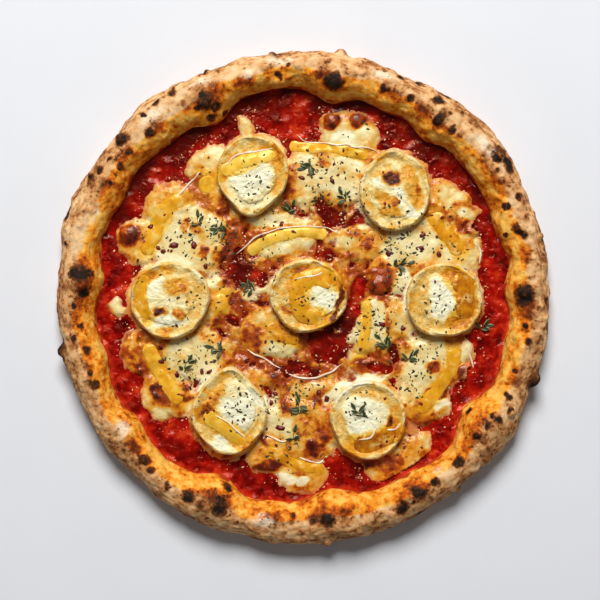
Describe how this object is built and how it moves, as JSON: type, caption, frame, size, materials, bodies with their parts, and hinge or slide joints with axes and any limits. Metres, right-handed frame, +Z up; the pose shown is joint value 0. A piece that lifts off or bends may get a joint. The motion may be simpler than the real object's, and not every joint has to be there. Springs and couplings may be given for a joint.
{
  "type": "goat cheese pizza",
  "caption": "Round wood-fired pizza with a puffed, charred rim, tomato sauce, melted mozzarella, goat cheese rounds, honey, chili flakes and thyme.",
  "frame": {"origin": "middle of the flat underside of the crust", "axes": "+Z up out of the toppings; +Y towards the top of the picture seen from above, +X to its right"},
  "size_m": [0.2973, 0.3003, 0.0269],
  "materials": {
    "crust": "dry baked dough: floury tan outside, golden inside, charred blisters",
    "sauce": "wet crushed tomato with oil",
    "mozzarella": "melted cheese, cream with toasted patches",
    "goat_cheese": "pale rind and crumbly core, melted between",
    "thyme": "small dull green leaves",
    "honey": "clear golden honey",
    "chili": "dried red chili flakes"
  },
  "bodies": {
    "root": {"crust": "crust", "tomato_sauce": "sauce", "mozzarella": "mozzarella", "mozzarella_islet_1": "mozzarella", "goat_cheese_1": "goat_cheese", "goat_cheese_2": "goat_cheese", "goat_cheese_3": "goat_cheese", "goat_cheese_4": "goat_cheese", "goat_cheese_5": "goat_cheese", "goat_cheese_6": "goat_cheese", "goat_cheese_7": "goat_cheese", "thyme_1": "thyme", "thyme_2": "thyme", "thyme_3": "thyme", "thyme_4": "thyme", "thyme_5": "thyme", "thyme_6": "thyme", "thyme_7": "thyme", "thyme_8": "thyme", "thyme_9": "thyme", "thyme_10": "thyme", "thyme_11": "thyme", "thyme_12": "thyme", "thyme_13": "thyme", "thyme_14": "thyme", "thyme_15": "thyme"}
  },
  "joints": []
}
